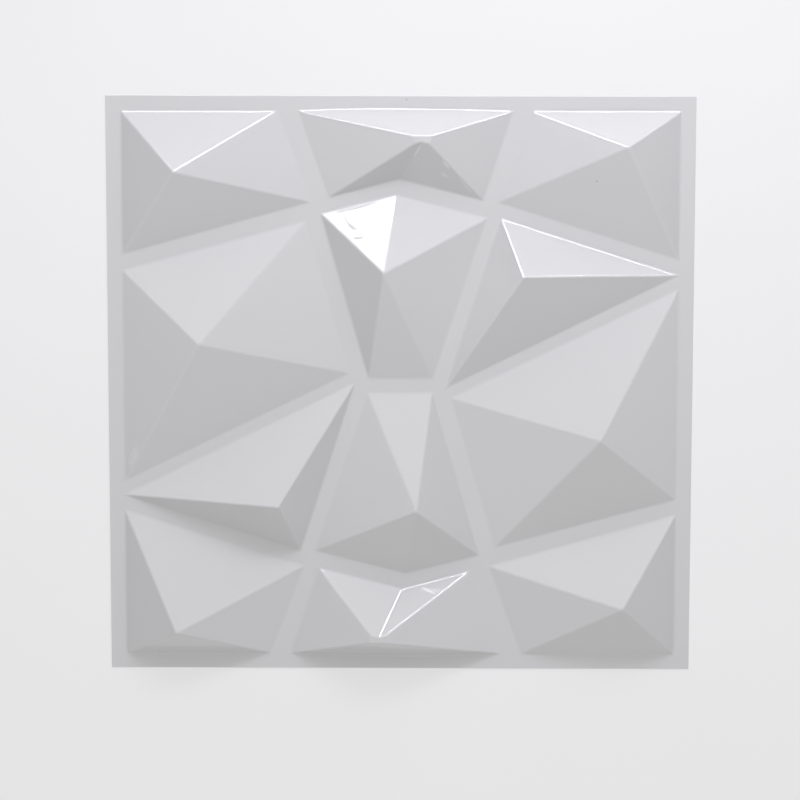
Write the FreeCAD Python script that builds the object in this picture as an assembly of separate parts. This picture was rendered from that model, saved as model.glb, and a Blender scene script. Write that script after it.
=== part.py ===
import FreeCAD
import Part

import math
import os

from FreeCAD import Placement, Rotation, Vector

# Square wall panel: one sheet of PVC drawn over a mould, with twelve faceted hollow cells.
# The frame's origin is the middle of the flat back, and +Z points out of the front.
# +Y points to the edge that is uppermost in the picture, +X to the right.

# Driving dimensions in millimetres
panel_side = 500.0
sheet_thickness = 1.0
margin = 13.0
relief_height = 32.0
ridge_radius = 3.0
foot_radius = 5.0

# The peaks beside the top and bottom edges are cut level, this far below their facets' meeting
blunt_cut = 3.0

# Each foot is rounded hollow in this many flat steps
foot_steps = 3

# Plan of the six cells of the upper half, in millimetres from the middle of the panel.
# Each foot is listed corner by corner, clockwise, and the peak is where the facets meet.
upper_left_foot = [(-237.0, 237.0), (-104.6, 237.0), (-76.4, 159.1), (-237.0, 113.4)]
upper_left_peak = (-191.1, 189.5)

upper_middle_foot = [(-86.8, 237.0), (94.8, 237.0), (70.5, 160.6), (-1.5, 179.2), (-61.2, 162.9)]
upper_middle_peak = (19.8, 219.1)

upper_right_foot = [(111.7, 237.0), (237.0, 237.0), (237.0, 109.7), (82.9, 159.0)]
upper_right_peak = (192.0, 211.6)

left_foot = [(-237.0, 99.6), (-81.3, 142.3), (-43.3, 10.9), (-237.0, -84.3)]
left_peak = (-171.0, 41.3)

centre_foot = [(-68.1, 149.2), (-4.7, 165.6), (73.6, 145.3), (27.9, 6.2), (-27.2, 6.2)]
centre_peak = (-14.1, 103.2)

right_foot = [(85.8, 145.2), (237.0, 96.4), (38.9, -2.1)]
right_peak = (104.2, 100.3)

# Each cell is its foot, its peak and how far its top is cut down.
upper_cells = [
    (upper_left_foot, upper_left_peak, 0),
    (upper_middle_foot, upper_middle_peak, blunt_cut),
    (upper_right_foot, upper_right_peak, 0),
    (left_foot, left_peak, 0),
    (centre_foot, centre_peak, 0),
    (right_foot, right_peak, 0),
]

# The outermost corners of the plan come to the inner edge of the margin
half_side = panel_side / 2
plan_reach = max(abs(x) for foot, peak, cut in upper_cells for x, y in foot)
spread = (half_side - margin) / plan_reach

# Heights, with the back of the flat parts at zero
front = sheet_thickness
peak_height = front + relief_height

# The cells run on below the front, so that their feet cut the flat cleanly
root = 2 * (ridge_radius + foot_radius + sheet_thickness)
flat_depth = root + 2 * ridge_radius + sheet_thickness
reach = 8 * panel_side
tolerance = 1e-4


def planned(point, height):
    """A point of the plan at its place on the panel."""
    return Vector(point[0] * spread, point[1] * spread, height)


def facet_normal(first, second, peak):
    """The direction that the facet over one side of a foot faces."""
    normal = (second - first).cross(peak - first)
    normal.normalize()
    return normal if normal.z > 0 else normal * -1


def beyond(point, normal):
    """All that lies on the far side of a plane, as a very large box."""
    box = Part.makeBox(reach, reach, reach, Vector(-reach / 2, -reach / 2, 0))
    box.Placement = Placement(point, Rotation(Vector(0, 0, 1), normal))
    return box


def hipped(planes, top):
    """The solid under a set of sloping planes and a level top."""
    low = front - root
    depth = top - low
    solid = Part.makeBox(panel_side, panel_side, depth, Vector(-half_side, -half_side, low))
    for point, normal in planes:
        solid = solid.cut(beyond(point, normal))
    return solid


def facet_planes(foot, peak, inset):
    """A cell's facets, each moved in by the inset."""
    top = planned(peak, peak_height)
    corners = [planned(point, front) for point in foot]
    planes = []
    for corner, following in zip(corners, corners[1:] + corners[:1]):
        normal = facet_normal(corner, following, top)
        planes.append((corner - normal * inset, normal))
    return planes


def step_planes(foot, peak, share):
    """Flatter planes that touch the hollow round at each foot, at a share of its slope."""
    planes = []
    for point, normal in facet_planes(foot, peak, 0):
        slope = math.acos(normal.z)
        step = slope * share
        level = Vector(normal.x, normal.y, 0)
        level.normalize()
        out = foot_radius * (math.tan(slope / 2) - math.tan(step / 2))
        planes.append((point + level * out, level * math.sin(step) + Vector(0, 0, math.cos(step))))
    return planes


def notch_in(foot):
    """The place in the list of a corner that points into the cell, where there is one."""
    corners = [planned(point, 0) for point in foot]
    for place, corner in enumerate(corners):
        side = corner - corners[place - 1]
        following = corners[(place + 1) % len(corners)] - corner
        if side.cross(following).z > 0:
            return place
    return None


def under_planes(planes, notch, top):
    """The solid under the planes, in two that share a valley where the foot has a notch."""
    if notch is None:
        return hipped(planes, top)
    one = hipped([plane for side, plane in enumerate(planes) if side != notch], top)
    last = (notch - 1) % len(planes)
    other = hipped([plane for side, plane in enumerate(planes) if side != last], top)
    return one.fuse(other).removeSplitter()


def raised_cell(foot, peak, cut):
    """A cell with its ridges rounded by a ball rolled round a smaller one, and its feet."""
    notch = notch_in(foot)
    top = peak_height - cut
    inner = under_planes(facet_planes(foot, peak, ridge_radius), notch, top - ridge_radius)
    cell = inner.makeOffsetShape(ridge_radius, tolerance, join=0)
    for step in range(1, foot_steps + 1):
        share = step / (foot_steps + 1)
        cell = cell.fuse(under_planes(step_planes(foot, peak, share), notch, top))
    return cell


def half_turned(shape):
    """The same shape after half a turn about the panel's middle."""
    turned = shape.copy()
    turned.rotate(Vector(0, 0, 0), Vector(0, 0, 1), 180)
    return turned


# The front of the sheet as the top of a solid form
cells = [raised_cell(foot, peak, cut) for foot, peak, cut in upper_cells]
cells = cells + [half_turned(cell) for cell in cells]
wide = panel_side + 4 * margin
flat = Part.makeBox(wide, wide, flat_depth, Vector(-wide / 2, -wide / 2, front - flat_depth))
form = flat.multiFuse(cells).removeSplitter()

# The drawn sheet keeps its thickness measured straight down, so it is thinner on steep facets
under = form.copy()
under.translate(Vector(0, 0, -sheet_thickness))
sheet = form.cut(under)

# Trimmed square
height = peak_height + sheet_thickness
outline = Part.makeBox(panel_side, panel_side, height, Vector(-half_side, -half_side, 0))
sheet = sheet.common(outline)
panel = sheet.Solids[0]

os.makedirs("parts", exist_ok=True)
panel.exportStep("parts/panel.step")

box = panel.BoundBox
print("panel", round(box.XLength, 2), round(box.YLength, 2), round(box.ZLength, 2), "mm")
print("solids", len(sheet.Solids), "faces", len(panel.Faces), "valid", panel.isValid())
print("volume", round(panel.Volume / 1000, 1), "cubic centimetres")
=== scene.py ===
# %% [markdown]
# The panel is one sheet of glossy plastic. It was heated, drawn down over a mould with twelve
# faceted hills and trimmed square, so the whole object is a single surface with one thickness.
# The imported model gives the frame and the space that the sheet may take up. Everything below
# is in metres in that frame: the flat back lies at zero and the front faces up, along +Z.

import math

import bpy
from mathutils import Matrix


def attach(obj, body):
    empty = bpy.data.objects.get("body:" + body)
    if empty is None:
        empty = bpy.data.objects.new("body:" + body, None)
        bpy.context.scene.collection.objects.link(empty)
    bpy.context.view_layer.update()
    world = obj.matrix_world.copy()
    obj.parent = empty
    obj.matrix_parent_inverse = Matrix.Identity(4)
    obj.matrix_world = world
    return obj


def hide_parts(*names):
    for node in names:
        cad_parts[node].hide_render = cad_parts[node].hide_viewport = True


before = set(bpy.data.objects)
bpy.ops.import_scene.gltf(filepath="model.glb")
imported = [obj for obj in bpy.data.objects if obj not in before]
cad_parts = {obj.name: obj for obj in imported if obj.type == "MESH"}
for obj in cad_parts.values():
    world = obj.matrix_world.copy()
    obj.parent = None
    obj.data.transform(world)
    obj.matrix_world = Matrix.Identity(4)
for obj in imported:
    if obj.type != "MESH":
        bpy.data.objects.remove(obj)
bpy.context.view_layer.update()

# %% [markdown]
# The photograph looks down on the sheet from nearly four metres, tilted by about twelve
# degrees, with its upper edge away from the lens. A long lens keeps the square almost true.
# The camera could aim at a target, but three plain angles say as much and can't roll by mistake.

# %% Place the camera
lens = bpy.data.cameras.new("camera")
lens.sensor_width = 36
lens.lens = 208.13
lens.clip_end = 50
camera = bpy.data.objects.new("camera", lens)
camera.location = (0.0293, 0.7984, 3.8803)
camera.rotation_euler = [math.radians(turn) for turn in (-11.806, 0.452, 0.073)]
bpy.context.scene.collection.objects.link(camera)
bpy.context.scene.camera = camera
bpy.context.scene.view_settings.view_transform = "Standard"
print("the camera stands at", camera.location[:])

# %% [markdown]
# Two kinds of node tree follow, one that makes shapes and one that makes finishes. Both are
# easier to read as a list of steps than as a drawing, so one small class adds a node, sets its
# options first and then fills its sockets. What it gives back is an output that can be used in
# plain sums, and each sum adds the Math node it stands for.

# %% Write nodes as plain lines
class Output:
    """One output of a node, which can be added, multiplied and so on."""

    def __init__(self, nodes, socket):
        self.nodes = nodes
        self.socket = socket

    def other(self, name):
        """Another output of the same node."""
        return Output(self.nodes, self.socket.node.outputs[name])

    def sum(self, operation, *values):
        values = dict(enumerate(values))
        return self.nodes.add("ShaderNodeMath", {"operation": operation}, values)

    def __add__(self, value):
        return self.sum("ADD", self, value)

    def __sub__(self, value):
        return self.sum("SUBTRACT", self, value)

    def __rsub__(self, value):
        return self.sum("SUBTRACT", value, self)

    def __mul__(self, value):
        return self.sum("MULTIPLY", self, value)

    def __truediv__(self, value):
        return self.sum("DIVIDE", self, value)

    __radd__ = __add__
    __rmul__ = __mul__


class Nodes:
    """A node tree that is written from top to bottom."""

    def __init__(self, tree):
        self.tree = tree

    def add(self, kind, settings=None, values=None, output=0):
        node = self.tree.nodes.new(kind)
        for name, setting in (settings or {}).items():
            setattr(node, name, setting)
        for name, value in (values or {}).items():
            if isinstance(value, Output):
                self.tree.links.new(value.socket, node.inputs[name])
            else:
                node.inputs[name].default_value = value
        return Output(self, node.outputs[output]) if node.outputs else None

    def vector(self, operation, *values, **named):
        """A Vector Math node on these values."""
        values = {**dict(enumerate(values)), **named}
        return self.add("ShaderNodeVectorMath", {"operation": operation}, values)

    def join(self, *shapes):
        """A Join Geometry node, whose one input takes any number of shapes."""
        node = self.tree.nodes.new("GeometryNodeJoinGeometry")
        for shape in reversed(shapes):
            self.tree.links.new(shape.socket, node.inputs[0])
        return Output(self, node.outputs[0])


# %% [markdown]
# A shape tree needs inputs with names and units, so that its sizes can be changed on the
# modifier. The floats below are lengths in metres. A modifier keeps each value under the
# socket's identifier, which is looked up by the name that the reader sees.

# %% Give shape trees named inputs
SOCKETS = {"length": "NodeSocketFloat", "finish": "NodeSocketMaterial"}


def shape_tree(name, inputs):
    """A Geometry Nodes tree with these inputs, and the output of each by name."""
    tree = bpy.data.node_groups.new(name, "GeometryNodeTree")
    tree.interface.new_socket(name="Geometry", in_out="INPUT", socket_type="NodeSocketGeometry")
    for label, kind in inputs.items():
        tree.interface.new_socket(name=label, in_out="INPUT", socket_type=SOCKETS[kind])
    tree.interface.new_socket(name="Geometry", in_out="OUTPUT", socket_type="NodeSocketGeometry")
    nodes = Nodes(tree)
    given = nodes.add("NodeGroupInput")
    return nodes, given.other("Geometry"), [given.other(label) for label in inputs]


def shape_with(piece, tree, values):
    """Put a tree on a piece and set its inputs."""
    modifier = piece.modifiers.new(tree.name, "NODES")
    modifier.node_group = tree
    for item in tree.interface.items_tree:
        if item.in_out == "INPUT" and item.name in values:
            modifier[item.identifier] = values[item.name]


# %% [markdown]
# The plan of the relief is what makes this pattern what it is. Each cell is a foot, drawn on
# the flat front, and a peak that all its facets run up to. Six cells are enough, because the
# other six are the same ones after half a turn. The numbers are millimetres from the middle
# of the panel, and each foot is listed clockwise.

# %% List the cells
mm = 0.001
panel_side = 500 * mm
sheet_thickness = 1 * mm
relief_height = 32 * mm

cells = {
    "upper_left": (
        [(-237, 237), (-104.6, 237), (-76.4, 159.1), (-237, 113.4)],
        (-191.1, 189.5), 0),
    "upper_middle": (
        [(-86.8, 237), (-58, 238.2), (-26, 238.8), (10, 238.7), (50, 238.1), (94.8, 237),
         (70.5, 160.6), (-1.5, 179.2), (-61.2, 162.9)],
        (19.8, 219.1), 3),
    "upper_right": (
        [(111.7, 237), (237, 237), (237, 109.7), (82.9, 159.0)],
        (192.0, 211.6), 0),
    "left": (
        [(-237, 99.6), (-81.3, 142.3), (-43.3, 10.9), (-237, -84.3)],
        (-171.0, 41.3), 0),
    "centre": (
        [(-68.1, 149.2), (-4.7, 165.6), (73.6, 145.3), (27.9, 6.2), (-27.2, 6.2)],
        (-14.1, 103.2), 0),
    "right": (
        [(85.8, 145.2), (237, 96.4), (38.9, -2.1)],
        (104.2, 100.3), 0),
}

corners = []
feet = []
peaks = []
cuts = []
for foot, peak, cut in cells.values():
    start = len(corners)
    corners += [(x * mm, y * mm, sheet_thickness) for x, y in foot]
    feet.append(list(range(start, len(corners)))[::-1])
    peaks += [peak[0] * mm, peak[1] * mm, sheet_thickness + relief_height]
    cuts.append(cut * mm / relief_height)

foot_mesh = bpy.data.meshes.new("cell_feet")
foot_mesh.from_pydata(corners, [], feet)
foot_mesh.attributes.new("peak", "FLOAT_VECTOR", "FACE").data.foreach_set("vector", peaks)
foot_mesh.attributes.new("cut", "FLOAT", "FACE").data.foreach_set("value", cuts)
sheet = bpy.data.objects.new("formed_sheet", foot_mesh)
bpy.context.scene.collection.objects.link(sheet)
print(len(feet), "feet with", len(corners), "corners, to be repeated by half a turn")

# %% [markdown]
# The facets follow one rule: from each side of the foot a triangle runs to the peak. A tree
# can do that for all cells at once, where cells drawn point by point would be hard to change.
# First a narrow level band grows out of every side of a foot, mitred at the corners. The round
# at the foot will run out on that band.

# %% Grow a level band round each foot
nodes, geometry, (band_width, ridge, hollow, valley, widest) = shape_tree("raised_cells", {
    "Band width": "length", "Ridge round": "length", "Foot round": "length",
    "Valley round": "length", "Widest round": "length"})

# The way out of the foot, square to each of its sides
peak_of_cell = nodes.add("GeometryNodeInputNamedAttribute",
                         {"data_type": "FLOAT_VECTOR"}, {"Name": "peak"})
one_end = nodes.add("GeometryNodeInputMeshEdgeVertices").other("Position 1")
along = nodes.vector("SUBTRACT", one_end.other("Position 2"), one_end)
climb = nodes.add("ShaderNodeSeparateXYZ", {}, {0: along}).other("Z")
across = nodes.vector("NORMALIZE", nodes.vector("CROSS_PRODUCT", along, (0.0, 0.0, 1.0)))
away = nodes.vector("SUBTRACT", one_end, peak_of_cell)
away = nodes.vector("DOT_PRODUCT", across, away).other("Value")
across = nodes.vector("SCALE", across, Scale=away.sum("SIGN", away))

# A corner moves out along the mean of its two sides, as far as keeps the band's width
at_corner = nodes.add("GeometryNodeFieldOnDomain",
                      {"data_type": "FLOAT_VECTOR", "domain": "EDGE"}, {"Value": across})
marked = nodes.add("GeometryNodeStoreNamedAttribute",
                   {"data_type": "FLOAT_VECTOR", "domain": "POINT"},
                   {"Geometry": geometry, "Name": "outward", "Value": at_corner})
outward = nodes.add("GeometryNodeInputNamedAttribute",
                    {"data_type": "FLOAT_VECTOR"}, {"Name": "outward"})
length = nodes.vector("DOT_PRODUCT", outward, outward).other("Value")
mitre = nodes.vector("SCALE", outward, Scale=band_width / length)
banded = nodes.add("GeometryNodeExtrudeMesh", {"mode": "EDGES"},
                   {"Mesh": marked, "Offset Scale": 0.0})
level = nodes.add("GeometryNodeSetPosition", {}, {
    "Geometry": banded, "Selection": banded.other("Top"), "Offset": mitre})

# %% [markdown]
# Next the tree extrudes every foot in place, moves the copy to its peak and lets the points that
# meet there merge. A blunt peak is the same cell stopped short. Its copy keeps a share of the
# foot's size, so the facets keep their slopes and the small top is level.

# %% Lift each foot to its peak
touching = 0.01 * mm

is_foot = nodes.add("FunctionNodeBooleanMath", {"operation": "NOT"}, {0: banded.other("Side")})
lifted = nodes.add("GeometryNodeExtrudeMesh", {"mode": "FACES"},
                   {"Mesh": level, "Selection": is_foot, "Offset Scale": 0.0})
cut = nodes.add("GeometryNodeInputNamedAttribute", {"data_type": "FLOAT"}, {"Name": "cut"})
position = nodes.add("GeometryNodeInputPosition")
short = nodes.vector("SCALE", nodes.vector("SUBTRACT", position, peak_of_cell), Scale=cut)
peaked = nodes.add("GeometryNodeSetPosition", {}, {
    "Geometry": lifted, "Selection": lifted.other("Top"),
    "Position": nodes.vector("ADD", peak_of_cell, short)})
peaked = nodes.add("GeometryNodeMergeByDistance", {},
                   {"Geometry": peaked, "Distance": touching})

# %% [markdown]
# The warm sheet bridged every fold of the mould alike, so ridges and feet get rounds of one
# width, whatever their angle. Only the valleys that run up to a peak are drawn in more tightly.
# The tree just weighs the edges, and a Bevel modifier rounds them by weight, because there is
# no bevel among the Geometry Nodes.

# %% Round each fold
flat_angle = 0.05
level_climb = 1 * mm

# Each fold's share of the widest round
angle = nodes.add("GeometryNodeInputMeshEdgeAngle").other("Signed Angle")
rounds_over = angle.sum("GREATER_THAN", angle, 0.0)
climbs = climb.sum("GREATER_THAN", climb.sum("ABSOLUTE", climb), level_climb)
folded = angle.sum("GREATER_THAN", angle.sum("ABSOLUTE", angle), flat_angle)
hollow = valley * climbs + hollow * (1 - climbs)
share = (ridge * rounds_over + hollow * (1 - rounds_over)) * folded / widest
weighed = nodes.add("GeometryNodeStoreNamedAttribute",
                    {"data_type": "FLOAT", "domain": "EDGE"},
                    {"Geometry": peaked, "Name": "bevel_weight_edge", "Value": share})
nodes.add("NodeGroupOutput", {}, {"Geometry": weighed})
raised_cells = nodes.tree

widest_round = 2 * mm
shape_with(sheet, raised_cells, {
    "Band width": 2.2 * mm, "Ridge round": 1.35 * mm, "Foot round": 1.35 * mm,
    "Valley round": 0.5 * mm, "Widest round": widest_round})

rounding = sheet.modifiers.new("rounding", "BEVEL")
rounding.limit_method = "WEIGHT"
rounding.width = widest_round
rounding.segments = 5
rounding.profile = 0.5
rounding.use_clamp_overlap = False
rounding.loop_slide = False
print("the cells' tree has", len(raised_cells.nodes), "nodes")

# %% [markdown]
# The folds have lost a little of their gloss, because the film is stretched most where it bends
# over the mould. The finish has to find them, so a second tree marks them by their narrow
# faces. Their places could be listed, but the width of a face is easily worked out: it is
# twice its area over the length all round.

# %% Mark the folds
widest_fold_face = 1.2 * mm

nodes, geometry, (side, thickness, finish) = shape_tree("formed_sheet", {
    "Panel side": "length", "Sheet thickness": "length", "Finish": "finish"})

area = nodes.add("GeometryNodeInputMeshFaceArea")
one_end = nodes.add("GeometryNodeInputMeshEdgeVertices").other("Position 1")
length = nodes.vector("DISTANCE", one_end, one_end.other("Position 2")).other("Value")
length = nodes.add("GeometryNodeFieldOnDomain", {"data_type": "FLOAT", "domain": "EDGE"},
                   {"Value": length})
count = nodes.add("GeometryNodeInputMeshFaceNeighbors").other("Vertex Count")
width = area * 2 / (length * count)
narrow_face = width.sum("LESS_THAN", width, widest_fold_face)
marked = nodes.add("GeometryNodeStoreNamedAttribute",
                   {"data_type": "FLOAT", "domain": "FACE"},
                   {"Geometry": geometry, "Name": "folded", "Value": narrow_face})

# %% [markdown]
# The rest of the front follows from the six cells. Half a turn gives the other six. The level
# part is what lies between the bands and the square outline, so filling those curves makes it
# with no gap, where a separate plane with twelve holes would have to be cut to fit.

# %% Repeat the cells and fill in the level part
two_places = nodes.add("GeometryNodePoints", {}, {"Count": 2})
index = nodes.add("GeometryNodeInputIndex")
turn = nodes.add("ShaderNodeCombineXYZ", {}, {"Z": index * math.pi})
turned = nodes.add("GeometryNodeInstanceOnPoints", {}, {
    "Points": two_places, "Instance": marked, "Rotation": turn})
cells_made = nodes.add("GeometryNodeRealizeInstances", {}, {"Geometry": turned})

faces_beside = nodes.add("GeometryNodeInputMeshEdgeNeighbors")
rims = nodes.add("GeometryNodeMeshToCurve", {}, {
    "Mesh": cells_made, "Selection": faces_beside.sum("LESS_THAN", faces_beside, 1.5)})
square = nodes.add("GeometryNodeCurvePrimitiveQuadrilateral", {},
                   {"Width": side, "Height": side})
curves = nodes.join(rims, square)
level = nodes.add("GeometryNodeFillCurve", {"mode": "TRIANGLES"}, {"Curve": curves})
up = nodes.add("ShaderNodeCombineXYZ", {}, {"Z": thickness})
level = nodes.add("GeometryNodeTransform", {}, {"Geometry": level, "Translation": up})
front = nodes.add("GeometryNodeMergeByDistance", {}, {
    "Geometry": nodes.join(cells_made, level), "Distance": touching})

# %% [markdown]
# The underside is the front moved straight down by the thickness, as a drawn sheet is thinnest
# on its steepest facets. Solidify would keep one thickness square to every facet instead, and
# would make the facets too thick. The trimmed sides are marked, because a cut edge is duller.
# Edges that turn by more than one step of a round, like those of the sides, are shaded sharp.

# %% Give the sheet its thickness
sharp_turn = math.radians(40)

down = nodes.add("ShaderNodeCombineXYZ", {}, {"Z": 0.0 - thickness})
lowered = nodes.add("GeometryNodeExtrudeMesh", {"mode": "FACES"}, {
    "Mesh": front, "Individual": False, "Offset": down, "Offset Scale": 1.0})
trimmed = nodes.add("GeometryNodeStoreNamedAttribute",
                    {"data_type": "FLOAT", "domain": "FACE"},
                    {"Geometry": lowered, "Name": "trimmed", "Value": lowered.other("Side")})
underside = nodes.add("GeometryNodeFlipFaces", {}, {"Mesh": trimmed})
whole = nodes.add("GeometryNodeMergeByDistance", {}, {
    "Geometry": nodes.join(front, underside), "Distance": touching})

angle = nodes.add("GeometryNodeInputMeshEdgeAngle")
smooth = nodes.add("GeometryNodeSetShadeSmooth", {"domain": "FACE"}, {
    "Geometry": whole, "Shade Smooth": True})
smooth = nodes.add("GeometryNodeSetShadeSmooth", {"domain": "EDGE"}, {
    "Geometry": smooth, "Shade Smooth": angle.sum("LESS_THAN", angle, sharp_turn)})
realized = nodes.add("GeometryNodeRealizeInstances", {}, {"Geometry": smooth})
finished = nodes.add("GeometryNodeSetMaterial", {}, {"Geometry": realized, "Material": finish})
nodes.add("NodeGroupOutput", {}, {"Geometry": finished})
formed_sheet = nodes.tree
print("the sheet's tree has", len(formed_sheet.nodes), "nodes")

# %% [markdown]
# The plastic is rigid PVC in light grey, rolled to a high gloss before it is formed. What
# shows of that gloss is a clear highlight along every round that turns towards a lamp. Heating
# leaves the surface very slightly wavy, so it gets two shallow bumps, one as broad as a hand
# and one as wide as a finger.

# %% Mix the plastic
pvc = bpy.data.materials.new("pvc_sheet")
pvc.use_nodes = True
pvc.node_tree.nodes.clear()
paint = Nodes(pvc.node_tree)
place = paint.add("ShaderNodeTexCoord").other("Object")

broad = paint.add("ShaderNodeTexNoise", {}, {"Vector": place, "Scale": 9.0, "Detail": 1.0})
narrow = paint.add("ShaderNodeTexNoise", {}, {"Vector": place, "Scale": 55.0, "Detail": 2.0})
height = broad * (0.10 * mm) + narrow * (0.010 * mm)
grain = paint.add("ShaderNodeTexNoise", {}, {"Vector": place, "Scale": 4.0, "Detail": 3.0})
tone = paint.add("ShaderNodeMix", {"data_type": "RGBA"}, {
    0: grain * 0.5 + 0.25, 6: (0.602, 0.601, 0.608, 1.0), 7: (0.622, 0.621, 0.628, 1.0)},
    output=2)
print("the plastic has", len(pvc.node_tree.nodes), "nodes so far")

# %% [markdown]
# A few small marks come from forming. The film wrinkles where it is drawn into a tight corner
# of the mould, and it is scuffed where it is pulled off. Each mark is a soft oval in its own
# place, filled with ripples that are stretched along it. A picture could carry the marks, but
# an oval from a Mapping node needs no file and stays in place on the model.

# %% Wrinkle the corners
def oval(x, y, length, width, turn):
    """Soft oval in millimetres from the middle: its own plan, and one inside to zero outside."""
    plan = paint.add("ShaderNodeMapping", {"vector_type": "TEXTURE"}, {
        "Vector": place, "Location": (x * mm, y * mm, 0.0),
        "Rotation": (0.0, 0.0, math.radians(turn)), "Scale": (length * mm, width * mm, 1.0)})
    distance = paint.vector("LENGTH", plan).other("Value")
    inside = paint.add("ShaderNodeMapRange", {"interpolation_type": "SMOOTHSTEP"}, {
        "Value": distance, "From Min": 0.45, "From Max": 1.0, "To Min": 1.0, "To Max": 0.0})
    return plan, inside


# Where each mark lies, its length, width and turn, its ripples along and across, how deep
# they are in millimetres, and how much painted highlight lightens them, past one to an even
# white
marks = {
    "crease inside the centre cell's foot": (-38, 154.9, 21, 1.4, 14.5, 2.0, 0.6, 0.32, 0),
    "wisps below that crease": (-43, 145, 11, 5, -50, 0.9, 2.0, 0.28, 0),
    "patch at the centre cell's side": (-36, 133, 6, 4, 10, 1.2, 1.4, 0.16, 0),
    "wrinkle with a painted highlight below the lower blunt peak": (24.3, -178.9, 8, 1.7, -16, 1.5, 0.3, 0.30, 2.2),
    "streak with painted sheen below the blunt peak": (14, 206.5, 9, 1.3, 63, 0.5, 0.9, 0.20, 0.9),
    "first scuff with painted sheen beside it": (38.5, 194, 6, 1.8, -48, 0.7, 1.5, 0.20, 1),
    "second scuff with painted sheen beside it": (37, 184.5, 4.5, 1.5, -40, 0.7, 1.3, 0.16, 0.8),
    "scuff with painted sheen along the ridge": (55, 174.5, 12, 1.2, -50, 0.6, 1.1, 0.16, 0.5),
    "ripples with painted sheen in the left cell's corner": (-229.5, -62, 13, 4.2, 68, 1.0, 1.8, 0.30, 0.4),
}
for x, y, length, width, turn, along, across, depth, white in marks.values():
    plan, inside = oval(x, y, length, width, turn)
    ripples = paint.add("ShaderNodeTexNoise", {}, {
        "Vector": paint.vector("MULTIPLY", plan, (along, across, 0.0)), "Scale": 1.0,
        "Detail": 2.0})
    height = height + ripples * inside * (depth * mm)
    # Lightening a mark's ripples paints a highlight into the colour: the softbox's glint on the
    # wrinkle, and a sheen on the streak, the scuffs and the corner ripples.
    if white:
        tone = paint.add("ShaderNodeMix", {"data_type": "RGBA"}, {
            0: ripples * inside * white, 6: tone, 7: (0.80, 0.80, 0.81, 1.0)}, output=2)

# Two specks of dust on the front
for x, y, size in ((4.9, 247.1, 1.0), (166.0, 180.2, 1.0)):
    inside = oval(x, y, size, size, 0)[1]
    tone = paint.add("ShaderNodeMix", {"data_type": "RGBA"}, {
        0: inside * 0.6, 6: tone, 7: (0.30, 0.30, 0.31, 1.0)}, output=2)
print(len(marks), "marks on the plastic")

# %% [markdown]
# The trimmed sides show the inside of the sheet, which is sawn and so paler and duller. The
# folds are only a little duller, which widens their highlights. Both could have a material of
# their own, but they are the same plastic, so one finish reads the marks of the shape tree.

# %% Finish the plastic
cut = paint.add("ShaderNodeAttribute", {"attribute_name": "trimmed"}).other("Fac")
folded = paint.add("ShaderNodeAttribute", {"attribute_name": "folded"}).other("Fac")
tone = paint.add("ShaderNodeMix", {"data_type": "RGBA"}, {
    0: cut, 6: tone, 7: (0.78, 0.78, 0.79, 1.0)}, output=2)
wave = paint.add("ShaderNodeBump", {}, {"Height": height, "Strength": 1.0, "Distance": 1.0})
plastic = paint.add("ShaderNodeBsdfPrincipled", {}, {
    "Base Color": tone, "Roughness": grain * 0.01 + folded * 0.08 + cut * 0.35 + 0.02,
    "IOR": 1.53, "Normal": wave})
paint.add("ShaderNodeOutputMaterial", {}, {"Surface": plastic})
print("the plastic has", len(pvc.node_tree.nodes), "nodes")

# %% [markdown]
# Now that there is a finish, the sheet can be formed with it. A sawn edge is never quite sharp,
# so the trimmed sides get a small bevel. The shading of the folds is led by the wide facets
# beside them, which keeps every facet evenly lit up to its edge. The modifiers could stay, but
# a plain mesh is what others can measure and print.

# %% Form the sheet
shape_with(sheet, formed_sheet, {
    "Panel side": panel_side, "Sheet thickness": sheet_thickness, "Finish": pvc})
trim = sheet.modifiers.new("trimmed_edge", "BEVEL")
trim.limit_method = "ANGLE"
trim.angle_limit = math.radians(60)
trim.width = 0.2 * mm
trim.segments = 2
level_light = sheet.modifiers.new("level_light", "WEIGHTED_NORMAL")
level_light.mode = "FACE_AREA"
level_light.keep_sharp = True

depsgraph = bpy.context.evaluated_depsgraph_get()
evaluated = sheet.evaluated_get(depsgraph)
formed = bpy.data.meshes.new_from_object(evaluated, preserve_all_data_layers=True,
                                         depsgraph=depsgraph)
sheet.modifiers.clear()
sheet.data = formed
formed.calc_loop_triangles()
print("the sheet has", len(formed.loop_triangles), "triangles and is",
      round(max(v.co.z for v in formed.vertices) / mm, 2), "mm deep")

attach(sheet, "root")
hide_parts("panel")

# %% [markdown]
# A plain pale floor lies under the sheet. It needs only one colour and a little unevenness.
# The floor could be lit up to white, but more light would wash out the panel as well. Half of
# what the camera sees of it is its own colour, and the other half keeps the panel's shadow.

# %% Lay the floor
floor_paint = bpy.data.materials.new("studio_floor")
floor_paint.use_nodes = True
floor_paint.node_tree.nodes.clear()
paint = Nodes(floor_paint.node_tree)
place = paint.add("ShaderNodeTexCoord").other("Object")
uneven = paint.add("ShaderNodeTexNoise", {}, {"Vector": place, "Scale": 3.0, "Detail": 2.0})
tone = paint.add("ShaderNodeMix", {"data_type": "RGBA"}, {
    0: uneven, 6: (0.84, 0.84, 0.845, 1.0), 7: (0.87, 0.87, 0.875, 1.0)}, output=2)
matt = paint.add("ShaderNodeBsdfDiffuse", {}, {"Color": tone})
pale = paint.add("ShaderNodeEmission", {}, {"Color": tone, "Strength": 1.0})
ray = paint.add("ShaderNodeLightPath")
seen = ray.other("Is Camera Ray")
for kind in ("Is Glossy Ray", "Is Transmission Ray"):
    seen = seen.sum("MAXIMUM", seen, ray.other(kind))
ground = paint.add("ShaderNodeMixShader", {}, {0: seen * 0.5, 1: matt, 2: pale})
paint.add("ShaderNodeOutputMaterial", {}, {"Surface": ground})

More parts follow.
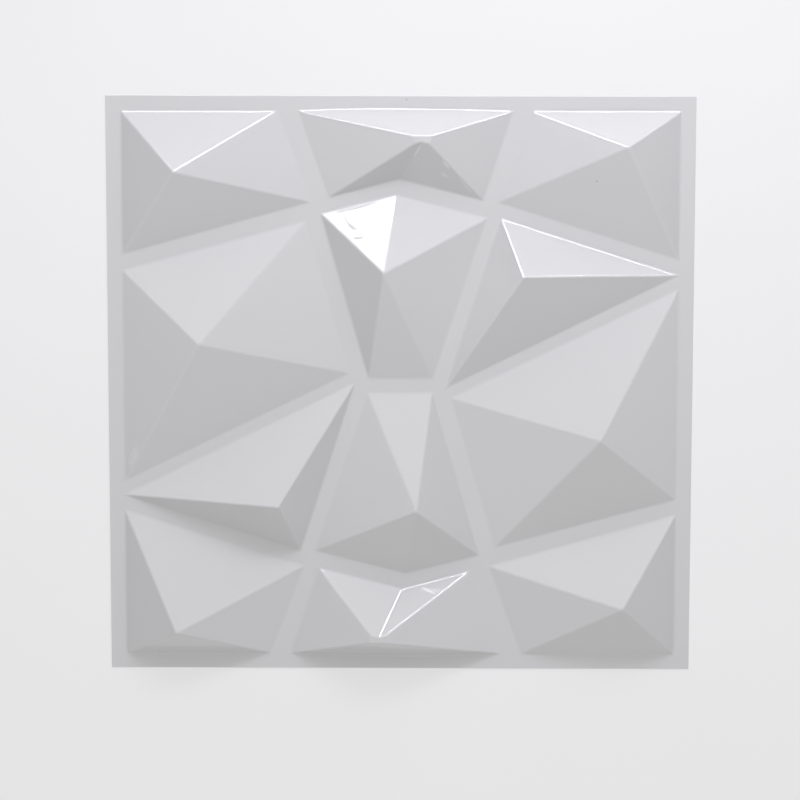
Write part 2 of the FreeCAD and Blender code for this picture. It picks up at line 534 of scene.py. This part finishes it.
floor_mesh = bpy.data.meshes.new("studio_floor")
reach = 6.0
floor_mesh.from_pydata(
    [(-reach, -reach, 0), (reach, -reach, 0), (reach, reach, 0), (-reach, reach, 0)],
    [], [(0, 1, 2, 3)])
floor_mesh.materials.append(floor_paint)
floor = bpy.data.objects.new("studio_floor", floor_mesh)
bpy.context.scene.collection.objects.link(floor)
print("floor", floor.dimensions[:])

# %% [markdown]
# Most of the light is that of a white room: bright overhead, before and behind the sheet, and
# dim at its two sides. Large lamps all round could make it, but each would show in the gloss
# with its edges. So the world's strength follows those directions instead.

# %% Light the room
world = bpy.data.worlds.new("white_room")
bpy.context.scene.world = world
world.use_nodes = True
world.node_tree.nodes.clear()
paint = Nodes(world.node_tree)
overhead = 0.65
before_and_behind = 0.97
more_behind = 0.15
way = paint.add("ShaderNodeSeparateXYZ", {}, {
    0: paint.add("ShaderNodeTexCoord").other("Generated")})
ahead, up = way.other("Y"), way.other("Z")
lengthwise = ahead.sum("ABSOLUTE", ahead) * before_and_behind
room = paint.add("ShaderNodeBackground", {}, {
    "Color": (1.0, 1.0, 1.0, 1.0),
    "Strength": up * up * overhead + lengthwise + ahead * more_behind})
paint.add("ShaderNodeOutputWorld", {}, {"Surface": room})
print("the room's light has", len(world.node_tree.nodes), "nodes")

# %% [markdown]
# What draws the thin white lines along the folds is one long, low softbox that hangs close
# above the upper edge, a little askew. It shows in every round that turns through its
# direction, and in the one facet that faces it. As it is close, the tone also falls off towards
# the lower edge. A larger lamp further away would be softer, but it would miss the folds at the
# ends. A fold is so narrow that its highlight fills a fraction of a pixel. Raising the lamp
# until the line shows would bleach the facets, so a second lamp in the same place only lights
# the gloss. Its light stops at the first dull surface, because scattered glints would lie over
# the facets as haze.

# %% Hang the softbox
plain_watts = 4.7
gloss_watts = 60.0


def softbox(name, power):
    """A long, low lamp above the upper edge, which the camera doesn't see."""
    light = bpy.data.lights.new(name, "AREA")
    light.shape = "RECTANGLE"
    light.size, light.size_y = (0.95, 0.20)
    light.energy = power
    light.color = (0.93, 0.92, 1.0)
    hung = bpy.data.objects.new(name, light)
    hung.location = (0.105, 0.725, 0.488)
    hung.rotation_euler = (math.radians(-90), math.radians(5.9), 0)
    hung.visible_camera = False
    bpy.context.scene.collection.objects.link(hung)
    return hung


softbox("softbox", plain_watts)
glint = softbox("softbox_in_gloss", gloss_watts)
glint.visible_diffuse = False
glint.data.use_nodes = True
glint.data.node_tree.nodes.clear()
paint = Nodes(glint.data.node_tree)
scattered = paint.add("ShaderNodeLightPath").other("Diffuse Depth")
glow = paint.add("ShaderNodeEmission", {}, {
    "Strength": scattered.sum("LESS_THAN", scattered, 0.5)})
paint.add("ShaderNodeOutputLight", {}, {"Surface": glow})
print("the softbox hangs", glint.location[:])
